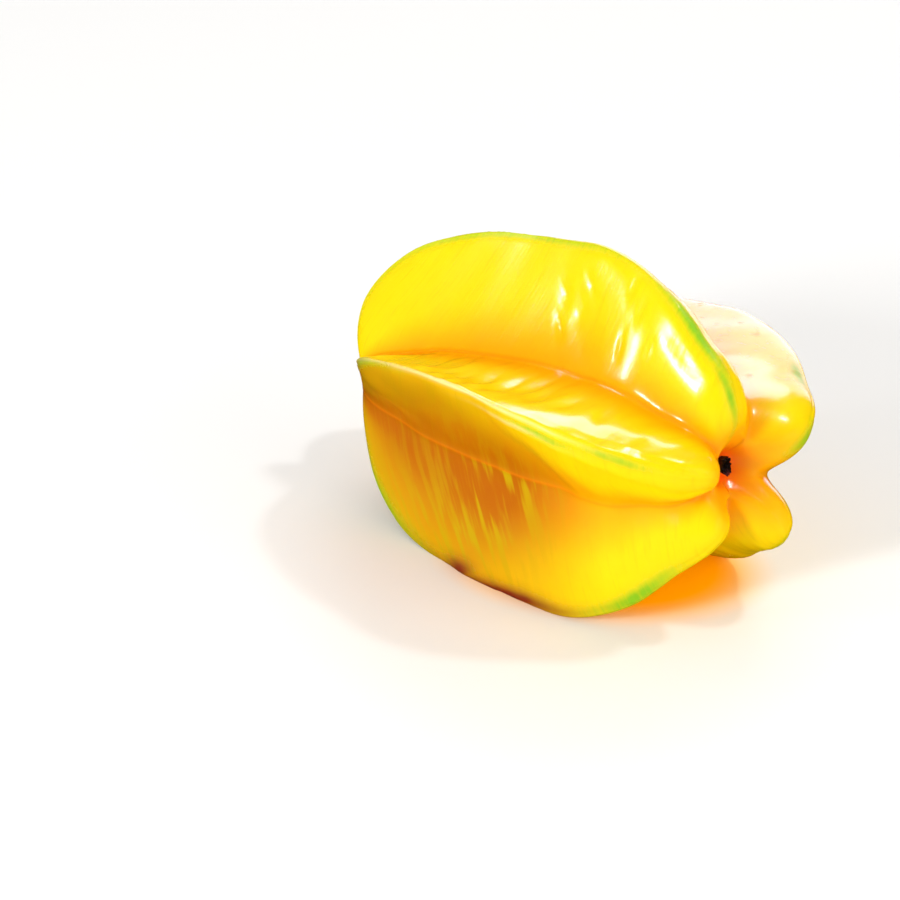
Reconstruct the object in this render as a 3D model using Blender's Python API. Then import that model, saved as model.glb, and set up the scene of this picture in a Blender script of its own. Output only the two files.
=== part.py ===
"""A whole star fruit lying on two of its five ribs, with the dried stub of its stem in the pit.

The skin is one closed surface. A point on it is given by two angles: how far it is from the stem
end, seen from the core of the fruit, and how far round the axis it is. Five ribs stand out from
that core. Each has a crest outline and shares a groove outline with its neighbours, and between
crest and groove a star section joins the two.

Run it with: blender --background --python part.py
"""

import math
from collections import namedtuple

import bmesh
import bpy
import numpy as np
from mathutils import Matrix, Vector

MM = 0.001

# Outlines seen from the core: (degrees from the stem end, millimetres from the core). The first
# three points are the floor of the stem pit, and the last is the apex.
CREST_OUTLINE = (
    (0, 15.5), (8, 15.5), (11, 16), (14, 18), (25, 24.5), (40, 26.5), (60, 27.5), (80, 31.5),
    (100, 36), (120, 40), (140, 49.5), (155, 59.5), (168, 66.5), (180, 68.5),
)
GROOVE_OUTLINE = (
    (0, 15.5), (8, 15.5), (11, 16), (14, 17.5), (25, 19), (40, 19), (60, 17), (80, 17.5),
    (100, 18), (120, 19.5), (140, 26.5), (155, 36.5), (168, 53), (180, 68.5),
)

# How the star section changes along the fruit: fat round lobes at the stem, thin wings at the
# apex. Each is (degrees from the stem end, value).
FLANK_TAPER = ((0, 0), (30, 0), (60, 9), (80, 17), (100, 22), (120, 25), (155, 32), (180, 34))
CREST_SHARPNESS = ((0, 2.2), (30, 2.2), (60, 2.6), (90, 3.6), (120, 5), (150, 6), (180, 6))
GROOVE_ROUNDING = 0.12
CREST_ROUNDING = 0.04

# angle: degrees round the axis from straight up, towards the viewer's side (-Y)
# reach: size against the crest outline
# lean: how much further it reaches at the stem end than at the apex
# twist: degrees that the crest turns between mid-length and the stem end
# shoulder: extra swelling where the crest rounds over into the stem pit
Rib = namedtuple("Rib", "angle reach lean twist shoulder")
RIBS = (
    Rib(angle=-1.5, reach=1.003, lean=-0.052, twist=4, shoulder=-0.07),
    Rib(angle=62.5, reach=0.955, lean=0.03, twist=11, shoulder=0),
    Rib(angle=146.5, reach=0.91, lean=-0.06, twist=-1, shoulder=0.04),
    Rib(angle=214, reach=1.015, lean=0.025, twist=-8, shoulder=0.065),
    Rib(angle=285, reach=1.13, lean=-0.015, twist=-3.5, shoulder=-0.04),
)
SHOULDER_AT = math.radians(28)
SHOULDER_WIDTH = math.radians(16)
PIT_EDGE = math.radians(9)
PIT_RIM = math.radians(21)
APEX_CAP = math.radians(14)

# The attitude in which the fruit lies
STEM_LIFT = math.radians(6.5)
REST_FLAT_DEPTH = 0.4 * MM

# Mesh density, and how far the rings crowd towards the two ends
STEPS_PER_RIB = 14
RINGS = 48
END_CROWDING = 0.25
SHARP_EDGE = math.radians(50)

# The dried stem stub in the pit: narrower across than it is high, and off centre to the -Y side
PIT_FLOOR = CREST_OUTLINE[0][1] * MM
STUB_GAP = 0.35 * MM
STUB_LENGTH = 2.1 * MM
STUB_FOOT_RADIUS = 1.7 * MM
STUB_HEAD_RADIUS = 2.2 * MM
STUB_SIDES = 20
STUB_RAGGEDNESS = 0.15 * MM
STUB_COARSE_TEETH = 3
STUB_FINE_TEETH = 7
STUB_NARROWNESS = 0.65
STUB_OFFSET = 0.8 * MM

SKIN_COLOUR = (0.90, 0.62, 0.01, 1.0)
SKIN_ROUGHNESS = 0.3
STUB_COLOUR = (0.030, 0.012, 0.006, 1.0)
STUB_ROUGHNESS = 0.8


def clear_scene():
    for leftover in list(bpy.data.objects):
        bpy.data.objects.remove(leftover, do_unlink=True)


def smooth_curve(points, angle):
    """The value at an angle in radians on a smooth curve through (degrees, value) points."""
    table = np.array(points, float)
    knots = np.radians(table[:, 0])
    values = table[:, 1]
    slopes = np.zeros(len(knots))
    slopes[1:-1] = (values[2:] - values[:-2]) / (knots[2:] - knots[:-2])
    left = int(np.clip(np.searchsorted(knots, angle, side="right") - 1, 0, len(knots) - 2))
    span = knots[left + 1] - knots[left]
    t = (angle - knots[left]) / span
    ease = t * t * (3 - 2 * t)
    start_bend = t * (1 - t) ** 2 * span * slopes[left]
    end_bend = t * t * (1 - t) * span * slopes[left + 1]
    return values[left] * (1 - ease) + values[left + 1] * ease + start_bend - end_bend


def star_section(share, half_angle, crest, groove, taper, sharpness):
    """The distance from the core at a share of the way from a rib's crest (0) to its groove (1)."""
    full = math.hypot(1, CREST_ROUNDING) - CREST_ROUNDING
    from_crest = math.hypot(share, CREST_ROUNDING) - CREST_ROUNDING
    to_groove = math.hypot(full - from_crest, GROOVE_ROUNDING) - GROOVE_ROUNDING
    whole = math.hypot(full, GROOVE_ROUNDING) - GROOVE_ROUNDING
    turned = (1 - to_groove / whole) * half_angle
    tip = (math.sin(taper) / math.sin(half_angle + taper)) ** sharpness
    flank = (math.sin(turned + taper) / math.sin(half_angle + taper)) ** sharpness
    weight = (flank - tip) / (1 - tip)
    return (crest**-sharpness * (1 - weight) + groove**-sharpness * weight) ** (-1 / sharpness)


def crest_angle(rib, from_stem):
    return math.radians(rib.angle) + math.radians(rib.twist) * math.cos(from_stem)


def crest_reach(rib, from_stem):
    swell = math.exp(-(((from_stem - SHOULDER_AT) / SHOULDER_WIDTH) ** 2))
    return rib.reach * (1 + rib.lean * math.cos(from_stem)) * (1 + rib.shoulder * swell)


def groove_reach(rib, neighbour, from_stem):
    reach = (rib.reach + neighbour.reach) / 2
    lean = (rib.lean + neighbour.lean) / 2
    return reach * (1 + lean * math.cos(from_stem))


def roundness(from_stem):
    """How far the ribs have died out: wholly in the pit's floor and at the apex, and not between."""
    if from_stem > math.pi / 2:
        return max(0.0, 1 - math.sin(from_stem) / math.sin(APEX_CAP)) ** 2
    climb = min(1.0, max(0.0, (from_stem - PIT_EDGE) / (PIT_RIM - PIT_EDGE)))
    return 1 - climb * climb * (3 - 2 * climb)


def skin_point(from_stem, sector):
    """The skin's point at an angle from the stem end, with sector counted in ribs round the axis."""
    number = round(sector)
    offset = sector - number
    side = 1 if offset >= 0 else -1
    rib = RIBS[number % len(RIBS)]
    neighbour = RIBS[(number + side) % len(RIBS)]
    between = crest_angle(neighbour, from_stem) - crest_angle(rib, from_stem)
    half_angle = abs((between + math.pi) % math.tau - math.pi) / 2
    share = 2 * abs(offset)
    share -= math.sin(math.tau * share) / (2 * math.tau)

    outline = smooth_curve(CREST_OUTLINE, from_stem)
    round_share = roundness(from_stem)
    crest = outline * crest_reach(rib, from_stem)
    crest += (outline - crest) * round_share
    groove = smooth_curve(GROOVE_OUTLINE, from_stem) * groove_reach(rib, neighbour, from_stem)
    groove += (outline - groove) * round_share
    groove = min(groove, crest)
    taper = math.radians(max(0.0, smooth_curve(FLANK_TAPER, from_stem)))
    sharpness = smooth_curve(CREST_SHARPNESS, from_stem)

    distance = star_section(share, half_angle, crest, groove, taper, sharpness) * MM
    around = crest_angle(rib, from_stem) + side * share * half_angle
    across = distance * math.sin(from_stem)
    return Vector(
        (distance * math.cos(from_stem), -across * math.sin(around), across * math.cos(around))
    )


def build_skin():
    """A sphere whose points are moved out to the skin, then lifted at the stem end."""
    skin = bmesh.new()
    bmesh.ops.create_uvsphere(
        skin, u_segments=STEPS_PER_RIB * len(RIBS), v_segments=RINGS, radius=1.0
    )
    lift = Matrix.Rotation(-STEM_LIFT, 3, "Y")
    for vertex in skin.verts:
        ring = math.acos(max(-1.0, min(1.0, vertex.co.z)))
        from_stem = ring - END_CROWDING * math.sin(2 * ring)
        sector = (math.atan2(vertex.co.y, vertex.co.x) % math.tau) / math.tau * len(RIBS)
        vertex.co = lift @ skin_point(from_stem, sector)
    bmesh.ops.recalc_face_normals(skin, faces=skin.faces)
    return skin


def resting_shift(skin):
    """The move that centres the fruit over the origin and sinks its flats to z = 0."""
    low = Vector([min(v.co[axis] for v in skin.verts) for axis in range(3)])
    high = Vector([max(v.co[axis] for v in skin.verts) for axis in range(3)])
    return Vector((-(low.x + high.x) / 2, -(low.y + high.y) / 2, -low.z - REST_FLAT_DEPTH))


def press_flats(skin):
    """Cuts the two lowest crests off at the floor, where the ripe ribs are pressed flat."""
    geometry = skin.verts[:] + skin.edges[:] + skin.faces[:]
    cut = bmesh.ops.bisect_plane(
        skin, geom=geometry, plane_co=(0, 0, 0), plane_no=(0, 0, -1), clear_outer=True
    )
    rim = [item for item in cut["geom_cut"] if isinstance(item, bmesh.types.BMEdge)]
    bmesh.ops.holes_fill(skin, edges=rim)
    bmesh.ops.recalc_face_normals(skin, faces=skin.faces)


def build_stub():
    """A short ragged plug along +X, oval and off centre, standing clear of the pit's floor."""
    stub = bmesh.new()
    bmesh.ops.create_cone(
        stub,
        cap_ends=True,
        segments=STUB_SIDES,
        radius1=STUB_FOOT_RADIUS,
        radius2=STUB_HEAD_RADIUS,
        depth=STUB_LENGTH,
    )
    bmesh.ops.translate(stub, verts=stub.verts, vec=(0, 0, STUB_LENGTH / 2))
    for vertex in stub.verts:
        around = math.atan2(vertex.co.y, vertex.co.x)
        teeth = math.sin(STUB_COARSE_TEETH * around) + math.cos(STUB_FINE_TEETH * around) / 2
        ragged = STUB_RAGGEDNESS * teeth
        outward = Vector((vertex.co.x, vertex.co.y, 0)).normalized()
        vertex.co += outward * ragged
        if vertex.co.z > STUB_LENGTH / 2:
            vertex.co.z += ragged
        vertex.co.y = vertex.co.y * STUB_NARROWNESS - STUB_OFFSET
    along_axis = Matrix.Rotation(math.pi / 2, 3, "Y")
    lift = Matrix.Rotation(-STEM_LIFT, 3, "Y")
    foot = Vector((PIT_FLOOR + STUB_GAP, 0, 0))
    for vertex in stub.verts:
        vertex.co = lift @ (along_axis @ vertex.co + foot)
    return stub


def make_material(name, colour, roughness):
    material = bpy.data.materials.new(name)
    material.use_nodes = True
    shader = material.node_tree.nodes["Principled BSDF"]
    shader.inputs["Base Color"].default_value = colour
    shader.inputs["Roughness"].default_value = roughness
    shader.inputs["Metallic"].default_value = 0.0
    return material


def add_object(name, form, place, material, collection):
    bmesh.ops.triangulate(form, faces=form.faces)
    mesh = bpy.data.meshes.new(name)
    form.to_mesh(mesh)
    form.free()
    mesh.shade_smooth()
    mesh.set_sharp_from_angle(angle=SHARP_EDGE)
    mesh.materials.append(material)
    piece = bpy.data.objects.new(name, mesh)
    piece.location = place
    collection.objects.link(piece)
    return piece


def main():
    clear_scene()
    collection = bpy.data.collections.new("star_fruit")
    bpy.context.scene.collection.children.link(collection)

    skin = build_skin()
    shift = resting_shift(skin)
    bmesh.ops.translate(skin, verts=skin.verts, vec=shift)
    press_flats(skin)
    waxy_skin = make_material("waxy_skin", SKIN_COLOUR, SKIN_ROUGHNESS)
    dried_stem = make_material("dried_stem", STUB_COLOUR, STUB_ROUGHNESS)
    add_object("fruit_body", skin, Vector(), waxy_skin, collection)
    add_object("stem_remnant", build_stub(), shift, dried_stem, collection)


main()
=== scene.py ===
"""The looks of a whole ripe star fruit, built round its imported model.

The skin is one closed surface grown from a sphere. A point on it is given by two angles: how far
it is from the stem end, seen from the core of the fruit, and how far round the axis it is. Five
ribs stand out from the core, and a star section joins each crest to the grooves beside it. The
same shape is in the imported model; here it is finer, and it has the crest strips, the creases and
the ripples of a real skin.
"""

import math
from collections import namedtuple

import bmesh
import bpy
import numpy as np
from bpy.props import FloatProperty, FloatVectorProperty, IntProperty, PointerProperty
from mathutils import Matrix, Vector, noise


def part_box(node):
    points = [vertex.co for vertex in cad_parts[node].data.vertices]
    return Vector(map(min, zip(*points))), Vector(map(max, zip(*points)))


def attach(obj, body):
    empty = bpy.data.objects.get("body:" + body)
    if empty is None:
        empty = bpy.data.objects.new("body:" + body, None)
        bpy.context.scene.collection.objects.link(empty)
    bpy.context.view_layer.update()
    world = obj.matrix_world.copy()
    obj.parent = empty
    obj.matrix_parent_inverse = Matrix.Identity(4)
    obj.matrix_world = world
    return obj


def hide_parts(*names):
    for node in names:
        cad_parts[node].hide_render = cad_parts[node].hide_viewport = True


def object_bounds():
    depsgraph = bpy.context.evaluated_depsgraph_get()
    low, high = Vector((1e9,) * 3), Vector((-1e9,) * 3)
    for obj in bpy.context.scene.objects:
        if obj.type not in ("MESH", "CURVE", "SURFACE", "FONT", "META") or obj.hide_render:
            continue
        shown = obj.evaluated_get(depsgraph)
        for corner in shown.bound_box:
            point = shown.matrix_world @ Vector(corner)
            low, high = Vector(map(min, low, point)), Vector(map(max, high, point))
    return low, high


bl_info = {
    "name": "Star Fruit",
    "version": (1, 0, 0),
    "blender": (4, 5, 0),
    "location": "3D View > Sidebar > Star Fruit",
    "description": "A whole ripe star fruit with its dried stem, on a pale studio floor",
    "category": "Add Mesh",
}

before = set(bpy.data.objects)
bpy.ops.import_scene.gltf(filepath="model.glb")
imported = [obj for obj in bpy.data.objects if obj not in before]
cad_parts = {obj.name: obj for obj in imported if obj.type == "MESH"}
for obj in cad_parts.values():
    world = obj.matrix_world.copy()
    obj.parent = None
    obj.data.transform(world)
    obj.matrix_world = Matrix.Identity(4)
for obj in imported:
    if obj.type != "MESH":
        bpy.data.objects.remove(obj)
CAD_LOW, CAD_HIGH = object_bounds()
SKIN_LOW, SKIN_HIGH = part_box("fruit_body")
STEM_LOW, STEM_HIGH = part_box("stem_remnant")

MM = 0.001

# Outlines seen from the core: (degrees from the stem end, millimetres from the core). The first
# three points are the floor of the stem pit, and the last is the apex.
CREST_OUTLINE = (
    (0, 15.5), (8, 15.5), (11, 16), (14, 18), (25, 24.5), (40, 26.5), (60, 27.5), (80, 31.5),
    (100, 36), (120, 40), (140, 49.5), (155, 59.5), (168, 66.5), (180, 68.5),
)
GROOVE_OUTLINE = (
    (0, 15.5), (8, 15.5), (11, 16), (14, 17.5), (25, 19), (40, 19), (60, 17), (80, 17.5),
    (100, 18), (120, 19.5), (140, 26.5), (155, 36.5), (168, 53), (180, 68.5),
)

# How the star section changes along the fruit: fat round lobes at the stem, thin wings at the
# apex. Each is (degrees from the stem end, value).
FLANK_TAPER = ((0, 0), (30, 0), (60, 9), (80, 17), (100, 22), (120, 25), (155, 32), (180, 34))
CREST_SHARPNESS = ((0, 2.2), (30, 2.2), (60, 2.6), (90, 3.6), (120, 5), (150, 6), (180, 6))
GROOVE_ROUNDING = 0.12
CREST_ROUNDING = 0.06

# angle: degrees round the axis from straight up, towards the viewer's side (-Y)
# reach: size against the crest outline
# lean: how much further it reaches at the stem end than at the apex
# twist: degrees that the crest turns between mid-length and the stem end
# shoulder: extra swelling where the crest rounds over into the stem pit
Rib = namedtuple("Rib", "angle reach lean twist shoulder")
RIBS = (
    Rib(angle=-1.5, reach=1.003, lean=-0.052, twist=4, shoulder=-0.07),
    Rib(angle=62.5, reach=0.955, lean=0.03, twist=11, shoulder=0),
    Rib(angle=146.5, reach=0.91, lean=-0.06, twist=-1, shoulder=0.04),
    Rib(angle=214, reach=1.015, lean=0.025, twist=-8, shoulder=0.065),
    Rib(angle=285, reach=1.13, lean=-0.015, twist=-3.5, shoulder=-0.04),
)
SHOULDER_AT = math.radians(28)
SHOULDER_WIDTH = math.radians(16)
PIT_EDGE = math.radians(9)
PIT_RIM = math.radians(21)
APEX_CAP = math.radians(14)
STEM_LIFT = math.radians(6.5)
STEM_FROM_CORE = 16.9 * MM
STEM_OFFSET = 0.85 * MM

# The strip along a crest: half its width in mm by degrees from the stem end
STRIP_HALF_WIDTH = ((0, 0.4), (30, 0.6), (60, 1.5), (100, 1.1), (140, 0.6), (180, 0.4))
STRIP_EDGE_SPREAD = 0.25
STRIP_HOLLOW = 0.8
STRIP_FROM = math.radians(22)
STRIP_FULL = math.radians(42)
CREASE_HALF_WIDTH = 0.5

# A flank is the side of a rib between its crest and a groove.
# slant: how far its grain leans towards the stem end on the way out, for each mm
# spacing, stretch: width and length of its ripples in mm
# ripple: height of its ripples in mm
# dimple: height of its scattered long bumps in mm
# warmth: how far painted shade turns it darker and more orange towards the apex
# stripes: how strongly painted streaks of light along its grain show in colour
# spots: how thickly corky spots are strewn on it
Flank = namedtuple("Flank", "slant spacing stretch ripple dimple stripes warmth spots")
FLANKS = (
    (   # top
        Flank(0.3, 2.4, 7, 0.12, 0.2, 0.3, 0.4, 0.3),
        Flank(0.35, 3.0, 4.5, 0.03, 0.0, 0.0, 0.0, 0.0),
    ),
    (   # viewer's side
        Flank(-0.1, 2.4, 9, 0.16, 0.0, 0.0, 0.0, 0.0),
        Flank(0.33, 4.0, 12, 0.20, 0.0, 0.2, 0.9, 0.0),
    ),
    (   # lower front
        Flank(0.33, 1.7, 10, 0.08, 0.0, 1.0, 1.0, 0.0),
        Flank(0.3, 2.2, 9, 0.12, 0.1, 0.5, 0.8, 0.2),
    ),
    (   # lower back
        Flank(0.3, 2.2, 9, 0.12, 0.1, 0.5, 0.8, 0.2),
        Flank(0.3, 2.6, 8, 0.12, 0.2, 0.4, 0.5, 0.4),
    ),
    (   # upper back
        Flank(0.3, 2.6, 8, 0.12, 0.2, 0.4, 0.5, 0.4),
        Flank(0.3, 2.2, 6, 0.03, 0.0, 0.0, 0.0, 1.0),
    ),
)
# The grain's slant falls to a third over this many mm towards the stem
GRAIN_FAN = 35.0
# Where along the fruit the painted streaks of light, the painted shade and the dimples are
PAINTED_STREAKS_AT = math.radians(141)
PAINTED_STREAKS_WIDTH = math.radians(19)
PAINTED_SHADE_FROM = math.radians(85)
PAINTED_SHADE_TO = math.radians(138)
SWELL_STRETCH = 1.3
RIPPLE_SEED = 11.3
SWELL_SEED = 37.9
# Ripples and swells die out this near a crest and a groove, in mm
CREST_CALM = 1.5
GROOVE_CALM = 4.0
# Long bumps stand out where the ripples are deeper than this
DIMPLE_START = 0.2
DIMPLES_AT = math.radians(108)
DIMPLES_WIDTH = math.radians(32)

# Soft hollows (height over 0) and ridges (under 0) along a rib: rib, side of its crest, distance
# from the crest in mm, degrees from the stem end at the middle, half length in degrees, half
# width in mm and height in mm
Fold = namedtuple("Fold", "rib side away middle length width height")
FOLDS = (
    Fold(rib=0, side=1, away=4.6, middle=62, length=18, width=1.2, height=0.22),
    Fold(rib=1, side=-1, away=3.5, middle=62, length=30, width=1.2, height=0.16),
    Fold(rib=1, side=-1, away=2.2, middle=138, length=26, width=1.5, height=0.4),
    Fold(rib=1, side=-1, away=9.0, middle=132, length=34, width=6.0, height=1.3),
    Fold(rib=1, side=1, away=3.2, middle=76, length=26, width=0.8, height=-0.22),
    Fold(rib=2, side=-1, away=4.5, middle=58, length=18, width=1.4, height=0.22),
    Fold(rib=3, side=1, away=5.0, middle=75, length=24, width=1.6, height=0.22),
    Fold(rib=4, side=-1, away=5.0, middle=95, length=26, width=1.6, height=0.22),
    Fold(rib=0, side=-1, away=5.5, middle=85, length=26, width=1.6, height=0.25),
)

# Short dents across a flank: rib, side of its crest, mm from the core towards the stem and mm out
# from the axis at the middle, half length outwards and half width along the axis in mm, how far
# it leans towards the stem for each mm outwards, and its depth in mm, as height
Welt = namedtuple("Welt", "rib side along out length width lean height")
WELTS = (
    Welt(rib=0, side=1, along=-15.8, out=27.0, length=1.9, width=0.9, lean=0.3, height=0.4),
    Welt(rib=0, side=1, along=-11.6, out=25.7, length=2.0, width=0.9, lean=0.45, height=0.4),
    Welt(rib=0, side=1, along=-9.7, out=29.7, length=1.4, width=0.9, lean=-0.9, height=0.4),
    Welt(rib=0, side=1, along=-16.0, out=21.4, length=1.5, width=0.9, lean=-0.2, height=0.4),
    Welt(rib=0, side=1, along=-1.0, out=22.0, length=1.6, width=0.7, lean=0.15, height=0.3),
    Welt(rib=0, side=1, along=-0.4, out=31.0, length=1.4, width=0.7, lean=0.3, height=0.3),
    Welt(rib=0, side=1, along=2.2, out=27.8, length=1.7, width=0.7, lean=0.2, height=0.2),
    Welt(rib=0, side=1, along=5.1, out=22.4, length=1.2, width=0.7, lean=0.0, height=0.2),
    Welt(rib=1, side=-1, along=-46.5, out=20.0, length=5.0, width=1.2, lean=0.0, height=0.72),
    Welt(rib=1, side=-1, along=-42.0, out=22.0, length=5.0, width=1.2, lean=0.1, height=0.72),
    Welt(rib=1, side=-1, along=-37.8, out=21.5, length=5.5, width=1.3, lean=0.1, height=0.80),
    Welt(rib=1, side=-1, along=-32.5, out=19.5, length=3.0, width=1.1, lean=0.1, height=0.64),
    Welt(rib=1, side=-1, along=-30.5, out=26.0, length=2.5, width=1.2, lean=0.0, height=0.64),
    Welt(rib=1, side=-1, along=-26.5, out=27.0, length=3.5, width=1.3, lean=0.0, height=0.80),
    Welt(rib=1, side=-1, along=-22.0, out=25.5, length=4.5, width=1.3, lean=0.0, height=0.80),
    Welt(rib=1, side=-1, along=-16.7, out=25.5, length=5.0, width=1.3, lean=-0.1, height=0.80),
    Welt(rib=1, side=-1, along=-12.5, out=21.5, length=3.5, width=1.2, lean=-0.1, height=0.64),
    Welt(rib=1, side=-1, along=-8.0, out=25.5, length=3.5, width=1.5, lean=0.2, height=0.56),
    Welt(rib=1, side=-1, along=-2.0, out=25.0, length=3.5, width=1.6, lean=-0.2, height=0.56),
    Welt(rib=1, side=-1, along=4.5, out=23.0, length=2.5, width=1.4, lean=0.3, height=0.48),
)

# Unripe green, bruised brown and painted highlight lines along the crests: rib, degrees from the
# stem end at the middle of the patch, its half length in degrees, how far it is from the crest in mm
# towards the next rib, its half width in mm, and how strong it is
Patch = namedtuple("Patch", "rib middle length away width strength")
GREEN_PATCHES = (
    Patch(rib=0, middle=64, length=22, away=0.3, width=1.2, strength=1.0),
    Patch(rib=0, middle=38, length=15, away=0.9, width=0.9, strength=0.9),
    Patch(rib=0, middle=130, length=46, away=0.4, width=1.1, strength=0.7),
    Patch(rib=1, middle=92, length=11, away=1.8, width=0.8, strength=0.8),
    Patch(rib=1, middle=66, length=14, away=0.5, width=0.9, strength=0.7),
    Patch(rib=1, middle=162, length=16, away=0.6, width=1.0, strength=0.8),
    Patch(rib=2, middle=74, length=20, away=-1.2, width=1.8, strength=1.0),
    Patch(rib=2, middle=160, length=14, away=0.0, width=2.6, strength=0.8),
    Patch(rib=3, middle=48, length=12, away=0.0, width=1.6, strength=0.8),
    Patch(rib=3, middle=110, length=30, away=0.0, width=0.9, strength=0.6),
    Patch(rib=4, middle=60, length=10, away=2.6, width=1.8, strength=1.0),
    Patch(rib=4, middle=30, length=9, away=-1.0, width=1.6, strength=0.8),
    Patch(rib=4, middle=120, length=35, away=0.0, width=0.8, strength=0.6),
)
BROWN_PATCHES = (
    Patch(rib=2, middle=121, length=20, away=-1.2, width=1.8, strength=1.0),
    Patch(rib=2, middle=138, length=4, away=-1.8, width=2.6, strength=1.0),
    Patch(rib=1, middle=170, length=9, away=0.0, width=1.8, strength=1.0),
    Patch(rib=3, middle=140, length=16, away=0.0, width=0.7, strength=0.7),
    Patch(rib=4, middle=150, length=12, away=0.0, width=0.6, strength=0.6),
)
# painted highlights: pale lines along the crest of the viewer's side rib
PAINTED_HIGHLIGHT_PATCHES = (
    Patch(rib=1, middle=122, length=32, away=0.2, width=0.4, strength=0.8),
    Patch(rib=1, middle=104, length=14, away=2.4, width=0.4, strength=0.5),
)

# azimuth: degrees round the fruit from -Y towards +X, as for the camera
# elevation: degrees above the floor
# distance, width, height: in metres
# power: in watts
# lights: whether it lights the scene
# mirrored: whether the skin's shine shows it
Softbox = namedtuple(
    "Softbox", "name azimuth elevation distance width height power colour lights mirrored"
)
WHITE = (1.0, 1.0, 1.0)
PINK = (1.0, 0.64, 0.90)
SOFTBOXES = (
    Softbox("front_softbox", 0, 24, 1.0, 0.16, 0.18, 5.5, WHITE, True, True),
    Softbox("side_softbox", -36, 8, 1.0, 0.07, 0.13, 1.8, WHITE, True, True),
    Softbox("top_softbox", 128, 63, 1.2, 0.1, 0.1, 2.5, WHITE, True, True),
    Softbox("rear_softbox", -150, 45, 1.2, 0.6, 0.6, 2.8, WHITE, True, False),
    Softbox("fill_softbox", 95, 15, 1.2, 1.0, 0.8, 6.0, WHITE, True, False),
    Softbox("feather_card", -146, 46, 1.1, 0.85, 0.62, 17.0, PINK, False, True),
    Softbox("back_card", -157, 10, 1.1, 0.85, 0.8, 7.5, PINK, False, True),
)


# ---------------------------------------------------------------------------------------------
# Shader maths


class Wire:
    """A shader socket on which Python's operators work: each adds one Math node."""

    def __init__(self, finish, socket):
        self.finish = finish
        self.socket = socket

    def maths(self, operation, first, second=0.0):
        return self.finish.node("ShaderNodeMath", {"operation": operation}, {0: first, 1: second})

    def __add__(self, other):
        return self.maths("ADD", self, other)

    def __radd__(self, other):
        return self.maths("ADD", other, self)

    def __sub__(self, other):
        return self.maths("SUBTRACT", self, other)

    def __rsub__(self, other):
        return self.maths("SUBTRACT", other, self)

    def __mul__(self, other):
        return self.maths("MULTIPLY", self, other)

    def __rmul__(self, other):
        return self.maths("MULTIPLY", other, self)

    def clipped(self):
        return self.finish.node(
            "ShaderNodeMath", {"operation": "ADD", "use_clamp": True}, {0: self, 1: 0.0}
        )

    def step(self, low, high):
        """0 below low and 1 above high, with a smooth rise between. low may be the larger."""
        return self.finish.node(
            "ShaderNodeMapRange",
            {"interpolation_type": "SMOOTHSTEP"},
            {"Value": self, "From Min": low, "From Max": high},
        )


class Finish:
    """A material's node tree, made one node at a time."""

    def __init__(self, name):
        self.material = bpy.data.materials.new(name)
        self.material.use_nodes = True
        self.tree = self.material.node_tree
        self.tree.nodes.clear()

    def node(self, kind, settings=None, inputs=None, output=0):
        made = self.tree.nodes.new(kind)
        for name, value in (settings or {}).items():
            setattr(made, name, value)
        for name, value in (inputs or {}).items():
            socket = self.find(made.inputs, name)
            if isinstance(value, Wire):
                self.tree.links.new(value.socket, socket)
            else:
                socket.default_value = value
        return Wire(self, self.find(made.outputs, output)) if made.outputs else None

    @staticmethod
    def find(sockets, name):
        """A socket by its number, its identifier or its name."""
        if isinstance(name, int):
            return sockets[name]
        for socket in sockets:
            if socket.identifier == name:
                return socket
        return sockets[name]

    def attribute(self, name, output="Fac"):
        return self.node("ShaderNodeAttribute", {"attribute_name": name}, output=output)

    def scaled(self, vector, factors):
        return self.node(
            "ShaderNodeVectorMath", {"operation": "MULTIPLY"}, {0: vector, 1: factors}
        )

    def noise(self, vector, scale, detail=2.0):
        return self.node(
            "ShaderNodeTexNoise", inputs={"Vector": vector, "Scale": scale, "Detail": detail}
        )

    def mix(self, factor, first, second):
        return self.node(
            "ShaderNodeMix",
            {"data_type": "RGBA"},
            {"Factor_Float": factor, "A_Color": first, "B_Color": second},
            output="Result_Color",
        )

    def bump(self, height, strength, distance, over=None):
        """Relief of a height in 0 to 1, on its own or over relief made before it."""
        inputs = {"Height": height, "Strength": strength, "Distance": distance}
        if over is not None:
            inputs["Normal"] = over
        return self.node("ShaderNodeBump", inputs=inputs, output="Normal")

    def surface(self, inputs):
        shader = self.node("ShaderNodeBsdfPrincipled", inputs=inputs)
        self.node("ShaderNodeOutputMaterial", inputs={"Surface": shader})
        return self.material


# ---------------------------------------------------------------------------------------------
# The skin's shape


def smooth_curve(points, angle):
    """The values at angles in radians on a smooth curve through (degrees, value) points."""
    table = np.array(points, float)
    knots = np.radians(table[:, 0])
    values = table[:, 1]
    slopes = np.zeros(len(knots))
    slopes[1:-1] = (values[2:] - values[:-2]) / (knots[2:] - knots[:-2])
    left = np.clip(np.searchsorted(knots, angle, side="right") - 1, 0, len(knots) - 2)
    span = knots[left + 1] - knots[left]
    t = (angle - knots[left]) / span
    ease = t * t * (3 - 2 * t)
    start_bend = t * (1 - t) ** 2 * span * slopes[left]
    end_bend = t * t * (1 - t) * span * slopes[left + 1]
    return values[left] * (1 - ease) + values[left + 1] * ease + start_bend - end_bend


def star_section(share, half_angle, crest, groove, taper, sharpness):
    """The distance from the core at a share of the way from a rib's crest (0) to its groove (1)."""
    full = math.hypot(1, CREST_ROUNDING) - CREST_ROUNDING
    from_crest = np.hypot(share, CREST_ROUNDING) - CREST_ROUNDING
    to_groove = np.hypot(full - from_crest, GROOVE_ROUNDING) - GROOVE_ROUNDING
    whole = math.hypot(full, GROOVE_ROUNDING) - GROOVE_ROUNDING
    turned = (1 - to_groove / whole) * half_angle
    tip = (np.sin(taper) / np.sin(half_angle + taper)) ** sharpness
    flank = (np.sin(turned + taper) / np.sin(half_angle + taper)) ** sharpness
    weight = (flank - tip) / (1 - tip)
    return (crest**-sharpness * (1 - weight) + groove**-sharpness * weight) ** (-1 / sharpness)


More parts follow.
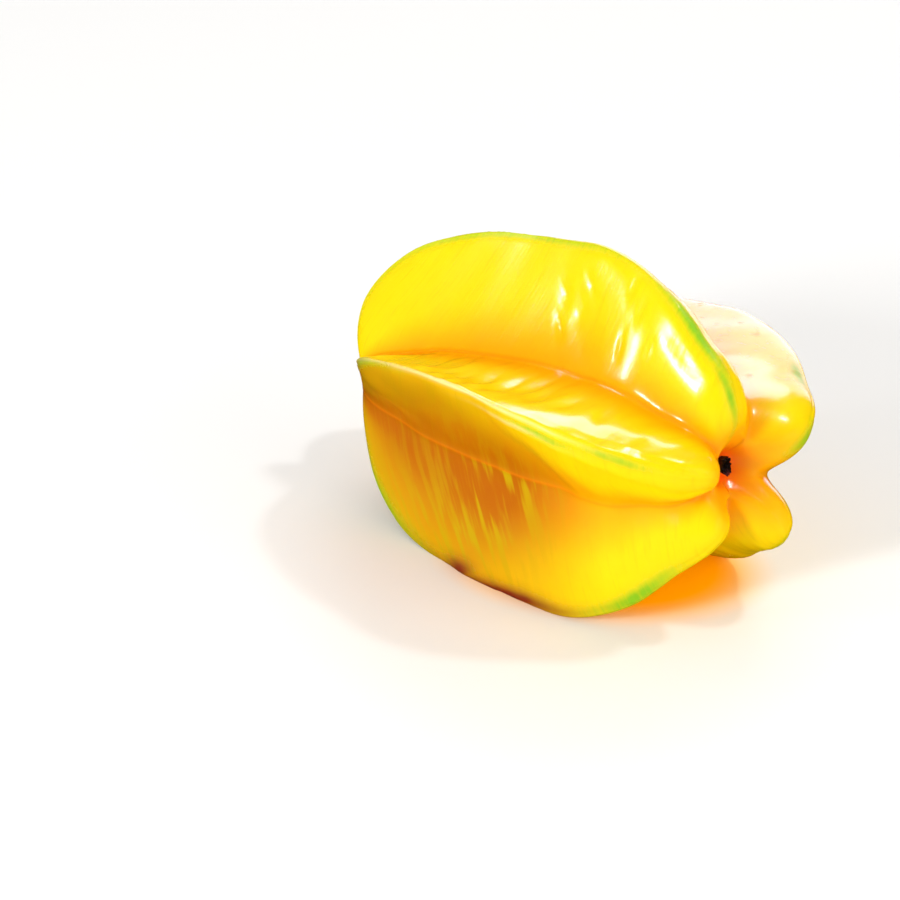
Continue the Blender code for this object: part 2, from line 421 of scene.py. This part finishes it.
def roundness(from_stem):
    """How far the ribs have died out: wholly in the pit's floor and at the apex."""
    apex = np.clip(1 - np.sin(from_stem) / math.sin(APEX_CAP), 0, 1) ** 2
    climb = np.clip((from_stem - PIT_EDGE) / (PIT_RIM - PIT_EDGE), 0, 1)
    return np.where(from_stem > math.pi / 2, apex, 1 - climb * climb * (3 - 2 * climb))


def bell(distance, width):
    return np.exp(-((distance / width) ** 2))


def skin_shape(from_stem, sector, crowding):
    """The skin's points in mm from the core, by the angle from the stem end and the sector counted
    in ribs round the axis, with the distances that the details and the finish need."""
    number = np.round(sector).astype(int)
    offset = sector - number
    side = np.where(offset >= 0, 1, -1)
    table = np.array(RIBS, float)
    rib = table[number % len(RIBS)].T
    beside = table[(number + side) % len(RIBS)].T
    angle, reach, lean, twist, shoulder = rib

    crest_angle = np.radians(angle) + np.radians(twist) * np.cos(from_stem)
    beside_angle = np.radians(beside[0]) + np.radians(beside[3]) * np.cos(from_stem)
    between = beside_angle - crest_angle
    half_angle = np.abs((between + math.pi) % math.tau - math.pi) / 2
    share = 2 * np.abs(offset)
    share -= crowding * np.sin(math.tau * share) / math.tau

    swell = bell(from_stem - SHOULDER_AT, SHOULDER_WIDTH)
    outline = smooth_curve(CREST_OUTLINE, from_stem)
    round_share = roundness(from_stem)
    crest = outline * reach * (1 + lean * np.cos(from_stem)) * (1 + shoulder * swell)
    crest += (outline - crest) * round_share
    groove_reach = (reach + beside[1]) / 2 * (1 + (lean + beside[2]) / 2 * np.cos(from_stem))
    groove = smooth_curve(GROOVE_OUTLINE, from_stem) * groove_reach
    groove += (outline - groove) * round_share
    groove = np.minimum(groove, crest)
    taper = np.radians(np.maximum(0.0, smooth_curve(FLANK_TAPER, from_stem)))
    sharpness = smooth_curve(CREST_SHARPNESS, from_stem)

    distance = star_section(share, half_angle, crest, groove, taper, sharpness)
    across = distance * np.sin(from_stem)
    around = crest_angle + side * share * half_angle
    points = np.stack(
        (distance * np.cos(from_stem), -across * np.sin(around), across * np.cos(around)), axis=1
    )
    flank = np.array(FLANKS, float)[number % len(RIBS), (side + 1) // 2].T
    slant, spacing, stretch, ripple, dimple, stripes, warmth, spots = flank
    late = np.clip((from_stem - PAINTED_SHADE_FROM) / (PAINTED_SHADE_TO - PAINTED_SHADE_FROM), 0, 1)
    lean_here = slant * np.exp(-points[:, 0] / GRAIN_FAN)
    rise = across - groove * np.sin(from_stem)
    grain = np.stack((points[:, 0] - lean_here * rise, points[:, 1], points[:, 2]), axis=1)
    details = {
        "rib": number % len(RIBS),
        "grain": grain,
        "spacing": spacing,
        "stretch": stretch,
        "ripple": ripple,
        "dimple": dimple * bell(from_stem - DIMPLES_AT, DIMPLES_WIDTH),
        "warmth": warmth * late,
        "stripes": stripes * bell(from_stem - PAINTED_STREAKS_AT, PAINTED_STREAKS_WIDTH),
        "spots": spots,
        "from_crest": np.hypot(across * share * half_angle, crest - distance),
        "from_groove": np.hypot(across * (1 - share) * half_angle, distance - groove),
        "side": side,
        "ribbed": 1 - round_share,
        "depth": np.clip(distance - groove, 0, None) / np.maximum(crest - groove, 0.5),
    }
    return points, details


def patch_strength(patches, from_stem, details):
    """How strongly the patches colour each point, from 0 to 1."""
    total = np.zeros(len(from_stem))
    for patch in patches:
        along = bell(from_stem - math.radians(patch.middle), math.radians(patch.length))
        across = bell(details["from_crest"] * details["side"] - patch.away, patch.width)
        total = np.maximum(total, (details["rib"] == patch.rib) * along * across * patch.strength)
    return total


def fold_height(from_stem, details):
    """How far in mm the folds push each point along its normal."""
    total = np.zeros(len(from_stem))
    for fold in FOLDS:
        here = (details["rib"] == fold.rib) & (details["side"] == fold.side)
        along = bell(from_stem - math.radians(fold.middle), math.radians(fold.length))
        across = bell(details["from_crest"] - fold.away, fold.width)
        total += here * along * across * fold.height
    return total


def welt_height(points, across, details):
    """How far in mm the short dents push each point along its normal."""
    total = np.zeros(len(points))
    for welt in WELTS:
        here = (details["rib"] == welt.rib) & (details["side"] == welt.side)
        out = across - welt.out
        along = points[:, 0] - welt.along - welt.lean * out
        total += here * bell(out, welt.length) * bell(along, welt.width) * welt.height
    return total


def drawn_noise(place, spacing, stretch, seed):
    """Noise drawn out along the grain: spacing wide and stretch long, in mm."""
    along, y, z = place
    return noise.noise(Vector((along / spacing + seed, y / stretch + seed, z / stretch - seed)))


def grow_skin(settings):
    """A sphere whose points are moved out to the skin, then given its relief.

    The recalculated normals point inwards, so relief over 0 sinks into the skin, and the finished
    faces point inwards too.
    """
    skin = bmesh.new()
    bmesh.ops.create_uvsphere(
        skin, u_segments=settings.steps_per_rib * len(RIBS), v_segments=settings.rings, radius=1.0
    )
    sphere = np.array([vertex.co for vertex in skin.verts])
    ring = np.arccos(np.clip(sphere[:, 2], -1, 1))
    from_stem = ring + settings.ring_crowding * np.sin(ring)
    sector = (np.arctan2(sphere[:, 1], sphere[:, 0]) % math.tau) / math.tau * len(RIBS)
    points, details = skin_shape(from_stem, sector, settings.edge_crowding)
    for vertex, point in zip(skin.verts, points):
        vertex.co = point
    bmesh.ops.recalc_face_normals(skin, faces=skin.faces)
    skin.normal_update()

    strip = smooth_curve(STRIP_HALF_WIDTH, from_stem)
    from_crest = details["from_crest"]
    lobed = np.clip((from_stem - STRIP_FROM) / (STRIP_FULL - STRIP_FROM), 0, 1)
    edges = bell(from_crest - strip, STRIP_EDGE_SPREAD)
    relief = (edges - bell(from_crest, strip * STRIP_HOLLOW)) * settings.strip_height / MM * lobed
    crease = bell(details["from_groove"], CREASE_HALF_WIDTH) * details["ribbed"]
    relief -= crease * settings.crease_depth / MM
    relief += fold_height(from_stem, details)
    relief += welt_height(points, np.hypot(points[:, 1], points[:, 2]), details)
    quiet = np.clip(from_crest / CREST_CALM, 0, 1)
    quiet *= np.clip(details["from_groove"] / GROOVE_CALM, 0, 1)
    swell_spacing = settings.swell_spacing / MM
    for index, vertex in enumerate(skin.verts):
        place = details["grain"][index]
        spacing, stretch = details["spacing"][index], details["stretch"][index]
        ripple = drawn_noise(place, spacing, stretch, RIPPLE_SEED)
        swell = drawn_noise(place, swell_spacing, swell_spacing * SWELL_STRETCH, SWELL_SEED)
        height = ripple * details["ripple"][index] * settings.ripple_share
        height -= max(0.0, ripple - DIMPLE_START) * details["dimple"][index]
        height *= quiet[index]
        height += swell * settings.swell_height / MM * details["ribbed"][index]
        vertex.co += vertex.normal * (height + relief[index])

    lift = Matrix.Rotation(-STEM_LIFT, 4, "Y") @ Matrix.Scale(MM, 4)
    bmesh.ops.transform(skin, matrix=lift, verts=skin.verts)
    details.update(
        unripe=patch_strength(GREEN_PATCHES, from_stem, details),
        bruise=patch_strength(BROWN_PATCHES, from_stem, details),
        pale=patch_strength(PAINTED_HIGHLIGHT_PATCHES, from_stem, details),
        from_stem=from_stem,
    )
    return skin, details


def seat(skin):
    """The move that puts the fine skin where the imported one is."""
    points = np.array([vertex.co for vertex in skin.verts])
    low, high = Vector(points.min(axis=0)), Vector(points.max(axis=0))
    middle = (SKIN_LOW + SKIN_HIGH - low - high) / 2
    return Vector((middle.x, middle.y, SKIN_HIGH.z - high.z))


def add_piece(name, form, material, node):
    mesh = bpy.data.meshes.new(name)
    form.to_mesh(mesh)
    form.free()
    mesh.shade_smooth()
    mesh.materials.append(material)
    piece = bpy.data.objects.new(name, mesh)
    bpy.context.scene.collection.objects.link(piece)
    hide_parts(node)
    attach(piece, "root")
    return piece


def store(mesh, name, values):
    """Keeps a number, or a vector, for each point of a mesh, for its material to read."""
    values = np.asarray(values, np.float32)
    kind, field = ("FLOAT", "value") if values.ndim == 1 else ("FLOAT_VECTOR", "vector")
    mesh.attributes.new(name, kind, "POINT").data.foreach_set(field, values.ravel())


# How closely the noise is packed for each mm: along the fruit, and in the two ways across it
PAINTED_STREAK_GRAIN = (0.4, 0.07, 0.07)
THREAD_GRAIN = (1.6, 0.15, 0.15)
THREAD_HEIGHT = 0.1 * MM
PORE_HEIGHT = 0.05 * MM
# What the skin's material reads, stored for each point of its mesh
STORED = (
    "from_stem", "from_groove", "depth", "unripe", "bruise", "pale", "grain", "stripes", "warmth",
    "spots",
)


def skin_finish(settings):
    """Thin waxy skin: lemon yellow flanks, green and brown marks on crests and corky spots, with
    painted shade in the grooves, on flanks and in the stem hollow, and painted streaks and
    highlights."""
    finish = Finish("waxy_skin")
    grain = finish.attribute("grain", output="Vector")
    near_groove = 1 - finish.attribute("depth")
    from_groove = finish.attribute("from_groove")
    from_stem = finish.attribute("from_stem")

    clouds = finish.noise(grain, 0.07)
    stripes = finish.noise(finish.scaled(grain, PAINTED_STREAK_GRAIN), 1.0)
    threads = finish.noise(finish.scaled(grain, THREAD_GRAIN), 1.0)
    # painted shade: the grooves turn orange, with random patches
    warm = near_groove.step(0.45, 1.1) + 0.5 * (clouds - 0.5)
    colour = finish.mix(warm.clipped(), settings.ripe_colour, settings.groove_shade_colour)
    painted_streak_share = finish.attribute("stripes")
    # painted shade: flanks darker and more orange towards the apex, most near a groove
    painted_shade_share = finish.attribute("warmth") * (0.6 + 0.4 * near_groove.step(0.0, 0.9))
    colour = finish.mix(painted_shade_share, colour, settings.shade_colour)
    # painted light: yellow streaks standing in for light caught and let through by ripples; the fine
    # threads after it are the skin's own grain
    colour = finish.mix(painted_streak_share * stripes.step(0.44, 0.6), colour, settings.grain_and_painted_streak_colour)
    colour = finish.mix(threads.step(0.5, 0.8) * 0.2, colour, settings.grain_and_painted_streak_colour)
    crease = from_groove.step(0.7, 0.0) * near_groove.step(0.8, 1.0) * 0.3
    colour = finish.mix(crease, colour, settings.crease_colour)
    # painted shade and glow: the stem hollow turns orange, then red round the stem
    colour = finish.mix(from_stem.step(0.6, 0.25), colour, settings.painted_pit_glow_colour)
    colour = finish.mix(from_stem.step(0.30, 0.13), colour, settings.painted_scar_glow_colour)
    unripe = finish.attribute("unripe") * (0.6 + 0.8 * threads)
    colour = finish.mix(unripe.clipped(), colour, settings.unripe_colour)
    bruise = finish.attribute("bruise") * (0.6 + 0.9 * clouds)
    colour = finish.mix(bruise.clipped(), colour, settings.bruise_colour)
    # painted highlight: pale lines along crests
    colour = finish.mix(finish.attribute("pale"), colour, settings.painted_highlight_colour)
    spots = finish.noise(grain, 0.45, detail=3.0).step(0.6, 0.7) * finish.attribute("spots")
    spots = spots * from_stem.step(0.8, 1.1)
    colour = finish.mix(spots * 0.5, colour, settings.spot_colour)

    pores = finish.noise(grain, 1.6, detail=3.0)
    relief = finish.bump(threads, 0.25, THREAD_HEIGHT)
    relief = finish.bump(pores, 0.2, PORE_HEIGHT, over=relief)
    rough = 0.16 + 0.08 * pores + 0.3 * finish.attribute("bruise") + 0.35 * spots + 0.25 * unripe
    return finish.surface(
        {
            "Base Color": colour,
            "Roughness": rough,
            "Normal": relief,
            "IOR": 1.45,
            "Coat Weight": 0.1,
            "Coat Roughness": 0.08,
            "Subsurface Weight": settings.glow,
            "Subsurface Radius": (1.0, 0.45, 0.05),
            "Subsurface Scale": settings.glow_depth,
        }
    )


# How closely the fibres' noise is packed for each metre, along the stub and across it
STEM_GRAIN = (600.0, 2400.0, 2400.0)
FIBRE_HEIGHT = 0.15 * MM
# The share of the stub's height that is reddened, and of its head that is sunk
REDDENED_SHARE = 0.4
SUNK_SHARE = 0.9
# How much finer the torn teeth are than the lumps under them
TOOTH_FINENESS = 2.7


def stem_form(settings):
    """A short broken stalk along +X out of the pit: an oval plug with a torn, hollowed head."""
    length = STEM_HIGH.x - STEM_LOW.x
    radius = (STEM_HIGH.z - STEM_LOW.z) / 2 * settings.trim
    width = (STEM_HIGH.y - STEM_LOW.y) / (STEM_HIGH.z - STEM_LOW.z)
    stalk = bmesh.new()
    bmesh.ops.create_cone(
        stalk, cap_ends=True, segments=settings.sides, radius1=radius * settings.foot,
        radius2=radius, depth=length * settings.stand,
    )
    uprights = [
        edge for edge in stalk.edges if abs(edge.verts[0].co.z - edge.verts[1].co.z) > length / 2
    ]
    bmesh.ops.subdivide_edges(stalk, edges=uprights, cuts=settings.tiers, use_grid_fill=True)
    top = [face for face in stalk.faces if face.normal.z > 0.9]
    for tier in range(settings.tiers):
        sink = -settings.hollow / settings.tiers if tier else 0.0
        bmesh.ops.inset_region(
            stalk, faces=top, thickness=radius * SUNK_SHARE / settings.tiers, depth=sink
        )
    for vertex in stalk.verts:
        lump = noise.noise(vertex.co / settings.tear_size)
        tooth = noise.noise(vertex.co / settings.tear_size * TOOTH_FINENESS)
        outward = Vector((vertex.co.x, vertex.co.y, 0)).normalized()
        vertex.co += outward * settings.tear_depth * (lump + tooth / 2)
        if vertex.co.z > 0:
            vertex.co.z += settings.tear_depth * (lump + tooth)
    narrow = Matrix.Scale(width, 4, (0, 1, 0))
    along_axis = Matrix.Rotation(math.pi / 2 - STEM_LIFT, 4, "Y")
    bmesh.ops.transform(stalk, matrix=along_axis @ narrow, verts=stalk.verts)
    points = np.array([vertex.co for vertex in stalk.verts])
    low, high = points.min(axis=0), points.max(axis=0)
    place = (STEM_LOW + STEM_HIGH) / 2 - Vector((low + high) / 2)
    place.x = STEM_LOW.x - low[0]
    place.y = STEM_LOW.y - low[1]
    bmesh.ops.translate(stalk, verts=stalk.verts, vec=place)
    return stalk


def stem_finish(settings):
    """Dry stalk: nearly black, with a dark red low down, on its lower side."""
    finish = Finish("dried_stem")
    place = finish.node("ShaderNodeTexCoord", output="Object")
    fibres = finish.noise(finish.scaled(place, STEM_GRAIN), 1.0, detail=4.0)
    height = finish.node("ShaderNodeSeparateXYZ", inputs={"Vector": place}, output="Z")
    colour = finish.mix(fibres.step(0.35, 0.75), settings.colour, settings.fibre_colour)
    # dark red on the lower side of the stalk, laid by height
    reddened = STEM_LOW.z + (STEM_HIGH.z - STEM_LOW.z) * REDDENED_SHARE
    low = height.step(reddened, STEM_LOW.z) * fibres.step(0.3, 0.6)
    colour = finish.mix(low, colour, settings.lower_red_colour)
    return finish.surface(
        {
            "Base Color": colour,
            "Roughness": 0.3 + 0.4 * fibres,
            "Normal": finish.bump(fibres, 0.8, FIBRE_HEIGHT),
        }
    )


# ---------------------------------------------------------------------------------------------
# Sizes and colours that a user may change


def length_property(name, description, default):
    return FloatProperty(name=name, description=description, default=default, unit="LENGTH")


def colour_property(name, description, default):
    return FloatVectorProperty(
        name=name, description=description, default=default, subtype="COLOR", size=4, min=0, max=1
    )


class SkinSettings(bpy.types.PropertyGroup):
    rings: IntProperty(name="Rings", description="Rings of the mesh from stem to apex", default=250)
    steps_per_rib: IntProperty(name="Steps per Rib", description="Columns for a rib", default=60)
    ring_crowding: FloatProperty(
        name="Ring Crowding", description="How far rings crowd to the apex", default=0.35
    )
    edge_crowding: FloatProperty(
        name="Edge Crowding", description="How far columns crowd to crests and grooves", default=0.8
    )
    ripple_share: FloatProperty(
        name="Ripples", description="Height of the ripples against a common fruit's", default=1.0
    )
    swell_spacing: length_property("Swell Spacing", "Between broad swells along a rib", 11 * MM)
    swell_height: length_property("Swell Height", "Height of the broad swells", 0.3 * MM)
    strip_height: length_property("Strip Height", "Relief of a crest strip's edges", 0.12 * MM)
    crease_depth: length_property("Crease Depth", "Relief of the line in a groove", 0.1 * MM)
    ripe_colour: colour_property("Ripe", "The flanks of the ribs", (0.95, 0.66, 0.0, 1.0))
    # painted shade in the grooves
    groove_shade_colour: colour_property("Groove", "The grooves", (0.95, 0.38, 0.0, 1.0))
    shade_colour: colour_property("Shade", "Sheltered flanks", (0.48, 0.125, 0.0, 1.0))
    # painted shade and glow in the stem hollow
    painted_pit_glow_colour: colour_property("Pit", "The hollow round the stem", (0.97, 0.36, 0.0, 1.0))
    # the fine grain's own colour and the painted streaks of light
    grain_and_painted_streak_colour: colour_property("Streaks", "Greenish yellow streaks", (0.55, 0.35, 0.0, 1.0))
    # painted glow, deepest red, round the stem
    painted_scar_glow_colour: colour_property("Scar Edge", "The skin round the stem", (0.95, 0.09, 0.0, 1.0))
    crease_colour: colour_property("Crease", "The bottoms of grooves", (0.92, 0.22, 0.0, 1.0))
    unripe_colour: colour_property("Unripe", "The green on crests", (0.24, 0.52, 0.0, 1.0))
    bruise_colour: colour_property("Bruise", "The dry brown on crests", (0.22, 0.02, 0.0, 1.0))
    # painted highlight lines on crests
    painted_highlight_colour: colour_property("Pale", "Thin pale lines on crests", (1.0, 0.78, 0.35, 1.0))
    spot_colour: colour_property("Spots", "The corky spots", (0.62, 0.42, 0.10, 1.0))
    glow: FloatProperty(name="Glow", description="Share of light that enters", default=0.25)
    glow_depth: length_property("Glow Depth", "How far light travels inside", 6 * MM)


class StemSettings(bpy.types.PropertyGroup):
    sides: IntProperty(name="Sides", description="Columns round the stalk", default=64)
    tiers: IntProperty(name="Tiers", description="Cuts along the stalk", default=10)
    trim: FloatProperty(name="Trim", description="Share of the packed stub's width", default=0.78)
    stand: FloatProperty(name="Stand", description="Share of the packed stub's length", default=0.5)
    foot: FloatProperty(name="Foot", description="Width of its foot against its head", default=0.8)
    hollow: length_property("Hollow", "Depth of the hollow in its head", 0.5 * MM)
    tear_size: length_property("Tear Size", "Size of the torn teeth", 0.9 * MM)
    tear_depth: length_property("Tear Depth", "Depth of the torn teeth", 0.5 * MM)
    colour: colour_property("Stalk", "The dry stalk", (0.002, 0.001, 0.001, 1.0))
    fibre_colour: colour_property("Fibres", "Its paler fibres", (0.012, 0.004, 0.003, 1.0))
    # the dark red on the lower side of the stalk
    lower_red_colour: colour_property("Root", "Where it joins the skin", (0.20, 0.006, 0.002, 1.0))


class StageSettings(bpy.types.PropertyGroup):
    floor_size: length_property("Floor Size", "Side of the floor", 6.0)
    floor_colour: colour_property("Floor", "The pale floor", (0.92, 0.92, 0.92, 1.0))
    # painted shadow and light: the orange pool under the fruit and its glow, which is no lamp
    painted_pool_colour: colour_property("Pool", "The floor lit through the flesh", (1.0, 0.5, 0.0, 1.0))
    painted_pool_glow: colour_property("Pool Light", "The light on it", (0.30, 0.11, 0.0, 1.0))
    pool_stemward: length_property("Pool Stemward", "From the middle to the pool's middle", 12 * MM)
    pool_forward: length_property("Pool Forward", "From the middle to the pool's middle", 2 * MM)
    pool_length: length_property("Pool Length", "Half length of the pool", 34 * MM)
    pool_width: length_property("Pool Width", "Half width of the pool", 24 * MM)
    pool_turn: FloatProperty(
        name="Pool Turn", description="The pool's turn from the fruit's axis",
        default=math.radians(25), subtype="ANGLE",
    )
    sky: FloatProperty(name="Sky", description="Strength of the light from all round", default=0.55)
    sky_colour: colour_property("Sky Colour", "The light from all round", (1.0, 0.98, 0.95, 1.0))
    azimuth: FloatProperty(
        name="Azimuth", description="Camera's angle round the fruit, from -Y towards +X",
        default=math.radians(40.6), subtype="ANGLE",
    )
    elevation: FloatProperty(
        name="Elevation", description="Camera's angle above the floor",
        default=math.radians(27.6), subtype="ANGLE",
    )
    distance: length_property("Distance", "From the camera to the core of the fruit", 598 * MM)
    aim_left: length_property("Aim Left", "How far left of the core the camera aims", 35.9 * MM)
    aim_down: length_property("Aim Down", "How far below the core the camera aims", 1.0 * MM)
    lens: FloatProperty(name="Lens", description="Focal length in mm", default=135.0)


# ---------------------------------------------------------------------------------------------
# The stage


def core_point():
    """Where the core of the fruit is, for the camera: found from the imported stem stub."""
    root = (STEM_LOW + STEM_HIGH) / 2
    from_core = Vector((math.cos(STEM_LIFT), 0, math.sin(STEM_LIFT))) * STEM_FROM_CORE
    return root - from_core + Vector((0, STEM_OFFSET, 0))


def direction(azimuth, elevation):
    """A unit vector at angles in radians: azimuth from -Y towards +X, elevation above the floor."""
    level = math.cos(elevation)
    return Vector((math.sin(azimuth) * level, -math.cos(azimuth) * level, math.sin(elevation)))


def add_softbox(softbox, aim):
    lamp = bpy.data.lights.new(softbox.name, "AREA")
    lamp.shape = "RECTANGLE"
    lamp.size = softbox.width
    lamp.size_y = softbox.height
    lamp.energy = softbox.power
    lamp.color = softbox.colour
    out = direction(math.radians(softbox.azimuth), math.radians(softbox.elevation))
    light = bpy.data.objects.new(softbox.name, lamp)
    light.location = aim + out * softbox.distance
    light.rotation_euler = (-out).to_track_quat("-Z", "Y").to_euler()
    light.visible_camera = False
    light.visible_diffuse = softbox.lights
    light.visible_glossy = softbox.mirrored
    bpy.context.scene.collection.objects.link(light)


def floor_finish(settings):
    """Pale floor with a painted orange shadow and glow under the fruit, for light come through its
    flesh.
    """
    finish = Finish("pale_floor")
    place = finish.node("ShaderNodeTexCoord", output="Object")
    place = finish.node(
        "ShaderNodeMapping",
        {"vector_type": "TEXTURE"},
        {
            "Vector": place,
            "Location": (settings.pool_stemward, -settings.pool_forward, 0.0),
            "Rotation": (0.0, 0.0, settings.pool_turn),
            "Scale": (settings.pool_length, settings.pool_width, 1.0),
        },
    )
    far = finish.node("ShaderNodeVectorMath", {"operation": "LENGTH"}, {0: place}, output="Value")
    # painted shadow and light: orange colour and a glow fading out from the pool's middle
    near = far.step(1.0, 0.6)
    return finish.surface(
        {
            "Base Color": finish.mix(near, settings.floor_colour, settings.painted_pool_colour),
            "Emission Color": finish.mix(near, (0.0, 0.0, 0.0, 1.0), settings.painted_pool_glow),
            "Emission Strength": 1.0,
            "Roughness": 0.6,
            "Specular IOR Level": 0.0,
        }
    )


def add_floor(settings):
    form = bmesh.new()
    bmesh.ops.create_grid(form, x_segments=1, y_segments=1, size=settings.floor_size / 2)
    mesh = bpy.data.meshes.new("floor")
    form.to_mesh(mesh)
    form.free()
    mesh.materials.append(floor_finish(settings))
    floor = bpy.data.objects.new("floor", mesh)
    floor.visible_glossy = False
    bpy.context.scene.collection.objects.link(floor)


def add_sky(settings):
    world = bpy.data.worlds.new("studio")
    world.use_nodes = True
    background = world.node_tree.nodes["Background"]
    background.inputs["Strength"].default_value = settings.sky
    background.inputs["Color"].default_value = settings.sky_colour
    world.cycles_visibility.glossy = False
    bpy.context.scene.world = world


def add_camera(settings):
    back = direction(settings.azimuth, settings.elevation)
    right = Vector((math.cos(settings.azimuth), math.sin(settings.azimuth), 0))
    up = back.cross(right)
    place = core_point() + back * settings.distance
    place += -right * settings.aim_left - up * settings.aim_down
    lens = bpy.data.cameras.new("camera")
    lens.lens = settings.lens
    lens.clip_start = 0.01
    camera = bpy.data.objects.new("camera", lens)
    camera.matrix_world = Matrix.Translation(place) @ Matrix((right, up, back)).transposed().to_4x4()
    bpy.context.scene.collection.objects.link(camera)
    bpy.context.scene.camera = camera


# ---------------------------------------------------------------------------------------------
# Operators and their panel


class STARFRUIT_OT_skin(bpy.types.Operator):
    """Grow the ribbed fruit with its waxy skin"""

    bl_idname = "star_fruit.skin"
    bl_label = "Fruit"

    def execute(self, context):
        settings = context.scene.star_fruit_skin
        skin, details = grow_skin(settings)
        bmesh.ops.translate(skin, verts=skin.verts, vec=seat(skin))
        for vertex in skin.verts:
            vertex.co.z = max(vertex.co.z, 0.0)
        piece = add_piece("fruit", skin, skin_finish(settings), "fruit_body")
        for name in STORED:
            store(piece.data, name, details[name])
        return {"FINISHED"}


class STARFRUIT_OT_stem(bpy.types.Operator):
    """Add the dried stub of the stem in its pit"""

    bl_idname = "star_fruit.stem"
    bl_label = "Dried Stem"

    def execute(self, context):
        settings = context.scene.star_fruit_stem
        form, material = stem_form(settings), stem_finish(settings)
        add_piece("dried_stem", form, material, "stem_remnant")
        return {"FINISHED"}


class STARFRUIT_OT_stage(bpy.types.Operator):
    """Set the pale floor, the soft lights and the camera"""

    bl_idname = "star_fruit.stage"
    bl_label = "Stage"

    def execute(self, context):
        settings = context.scene.star_fruit_stage
        add_floor(settings)
        add_sky(settings)
        middle = (CAD_LOW + CAD_HIGH) / 2
        for softbox in SOFTBOXES:
            add_softbox(softbox, middle)
        add_camera(settings)
        context.scene.view_settings.view_transform = "Standard"
        return {"FINISHED"}


class STARFRUIT_PT_panel(bpy.types.Panel):
    bl_idname = "STARFRUIT_PT_panel"
    bl_label = "Star Fruit"
    bl_space_type = "VIEW_3D"
    bl_region_type = "UI"
    bl_category = "Star Fruit"

    def draw(self, context):
        for operator in OPERATORS:
            self.layout.operator(operator.bl_idname)


OPERATORS = (STARFRUIT_OT_skin, STARFRUIT_OT_stem, STARFRUIT_OT_stage)
SETTINGS = {
    "star_fruit_skin": SkinSettings,
    "star_fruit_stem": StemSettings,
    "star_fruit_stage": StageSettings,
}


def register():
    for group in SETTINGS.values():
        bpy.utils.register_class(group)
    for name, group in SETTINGS.items():
        setattr(bpy.types.Scene, name, PointerProperty(type=group))
    for operator in OPERATORS:
        bpy.utils.register_class(operator)
    bpy.utils.register_class(STARFRUIT_PT_panel)


def unregister():
    bpy.utils.unregister_class(STARFRUIT_PT_panel)
    for operator in reversed(OPERATORS):
        bpy.utils.unregister_class(operator)
    for name in SETTINGS:
        delattr(bpy.types.Scene, name)
    for group in SETTINGS.values():
        bpy.utils.unregister_class(group)


def main():
    register()
    bpy.ops.star_fruit.skin()
    bpy.ops.star_fruit.stem()
    bpy.ops.star_fruit.stage()


if __name__ == "__main__":
    main()
